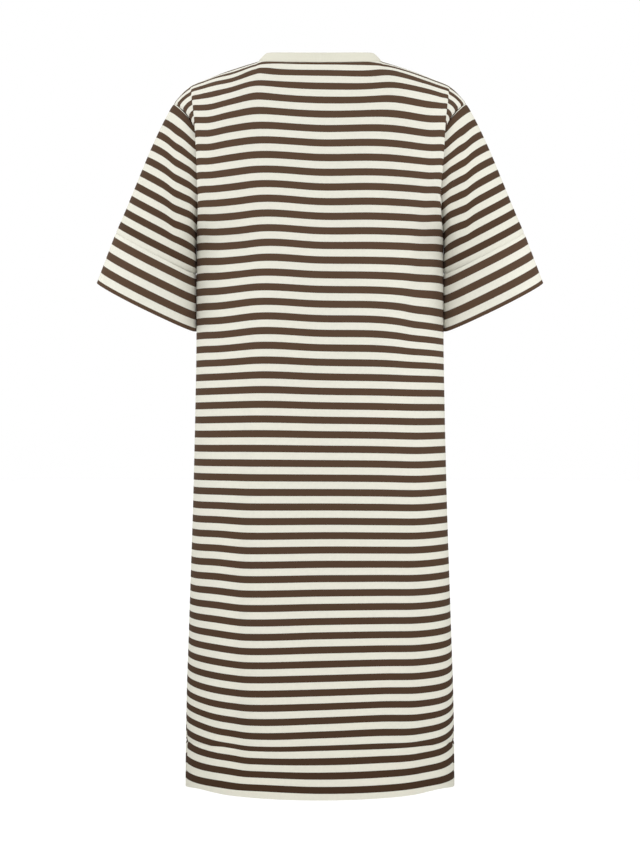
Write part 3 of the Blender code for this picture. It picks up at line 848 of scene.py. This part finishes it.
def neckband_points():
    angle = np.linspace(0, math.tau, NECKBAND_COLUMNS + 1)
    foot = neck_curve(angle, NECK_HALF_WIDTH, NECK_SIDE_HEIGHT,
                      (NECK_BACK_DEPTH, NECK_BACK_DROP), (NECK_FRONT_DEPTH, NECK_FRONT_DROP))
    top = neck_curve(angle, BAND_TOP_HALF_WIDTH, BAND_TOP_HEIGHT,
                     (BAND_BACK_DEPTH, BAND_BACK_DROP), (BAND_FRONT_DEPTH, BAND_FRONT_DROP))
    out = np.stack((np.sin(angle), -np.cos(angle), 0 * angle), axis=-1)
    rows = [foot + t * (top - foot) + out * BAND_BULGE * 4 * t * (1 - t)
            for t in np.linspace(NECKBAND_START, 1, NECKBAND_ROWS + 1)]
    return np.stack(rows, axis=1)


def cream_rib():
    finish = Finish("cream_rib")
    place, across, up = finish.flat_cloth()
    rib = (across / RIB_PITCH).wave() * 0.5 + 0.5
    stitch = (up / STITCH_HEIGHT).wave() * 0.5 + 0.5
    mottle = finish.cloud(place, 300.0)
    relief = rib * 0.8 + rib * stitch * 0.3
    bump = finish.value(
        "ShaderNodeBump", {}, {"Strength": 0.5, "Distance": RIB_RELIEF, "Height": relief}
    )
    finish.fill(finish.shader, {
        "Base Color": finish.mix(mottle * 0.4 + rib * 0.6, RIB_SHADED, RIB_CREAM),
        "Roughness": 0.92,
        "Specular IOR Level": 0.04,
        "Diffuse Roughness": 0.25,
        "Sheen Weight": 0.01,
        "Sheen Roughness": 0.5,
        "Normal": bump,
    })
    return finish.material


points = neckband_points()
around = run_lengths(points, axis=0)
straight_up = np.repeat(around.mean(axis=1, keepdims=True), points.shape[1], axis=1)
flat = np.stack((straight_up, run_lengths(points, axis=1)), axis=-1)
neckband = cloth_grid("neckband_rib", points, flat, RIB_THICKNESS, closed=True)
edge = neckband.modifiers.new("folded edge", "BEVEL")
edge.width = FOLDED_EDGE
edge.segments = 3
edge.angle_limit = math.radians(50)
bpy.context.view_layer.objects.active = neckband
bpy.ops.object.modifier_apply(modifier=edge.name)
dress_in(neckband, cream_rib(), "cream_rib", "neckband")


# Studio
# A wide pale floor under the hanging dress, a white surround, two very soft lights above,
# and a wide soft spot beside each shoulder.

FLOOR_HEIGHT = -1.50
FLOOR_RADIUS = 40
CAMERA_DISTANCE = 3.385
CAMERA_HEIGHT = -0.515
LENS_LENGTH = 100
SURROUND_LIGHT = 0.26
# The main light is high behind the camera, and a weaker one lights the side away from it
SoftLight = namedtuple("SoftLight", "come_from power softness")
SOFT_LIGHTS = [
    SoftLight((0.05, -0.78, 0.72), 2.7, 50),
    SoftLight((-0.35, 0.75, 0.60), 1.5, 60),
]
# The spots light the sides of the chest, and less and less of them towards the hem
SPOT_PLACES = ((-1.7, 0.05, -0.10), (1.7, 0.05, -0.10))
SPOT_TARGET = (0, 0, -0.25)
SPOT_WIDTH = 56
SPOT_SOFTNESS = 0.35
SPOT_POWER = 34

bpy.ops.object.select_all(action="DESELECT")
bpy.ops.mesh.primitive_circle_add(vertices=96, radius=FLOOR_RADIUS, fill_type="NGON")
floor = bpy.context.object
floor.location.z = FLOOR_HEIGHT
floor.name = "studio_floor"
pale = Finish("pale_floor")
pale.fill(pale.shader, {"Base Color": (0.98, 0.98, 0.98, 1), "Roughness": 0.9})
floor.data.materials.append(pale.material)


# The white surround is seen at full strength and lights the dress with a part of it
class Surround(Finish):
    def __init__(self, name):
        self.world = bpy.data.worlds.new(name)
        self.world.use_nodes = True
        self.tree = self.world.node_tree
        self.shader = self.tree.nodes["Background"]


surround = Surround("white_surround")
seen = surround.value("ShaderNodeLightPath", {}, {})
strength = seen * (1 - SURROUND_LIGHT) + SURROUND_LIGHT
surround.fill(surround.shader, {"Color": (1, 1, 1, 1), "Strength": strength})
bpy.context.scene.world = surround.world
bpy.context.scene.view_settings.view_transform = "Standard"

for light in SOFT_LIGHTS:
    bpy.ops.object.light_add(type="SUN", location=light.come_from)
    sun = bpy.context.object
    sun.data.energy = light.power
    sun.data.angle = math.radians(light.softness)
    sun.rotation_euler = (-Vector(light.come_from)).to_track_quat("-Z", "Y").to_euler()

for place in SPOT_PLACES:
    bpy.ops.object.light_add(type="SPOT", location=place)
    spot = bpy.context.object
    spot.data.energy = SPOT_POWER
    spot.data.spot_size = math.radians(SPOT_WIDTH)
    spot.data.spot_blend = 1.0
    spot.data.shadow_soft_size = SPOT_SOFTNESS
    to_chest = Vector(SPOT_TARGET) - Vector(place)
    spot.rotation_euler = to_chest.to_track_quat("-Z", "Y").to_euler()

bpy.ops.object.camera_add(location=(0, -CAMERA_DISTANCE, CAMERA_HEIGHT), rotation=(math.pi / 2, 0, 0))
camera = bpy.context.object
camera.data.lens = LENS_LENGTH
camera.data.sensor_width = 36
bpy.context.scene.camera = camera
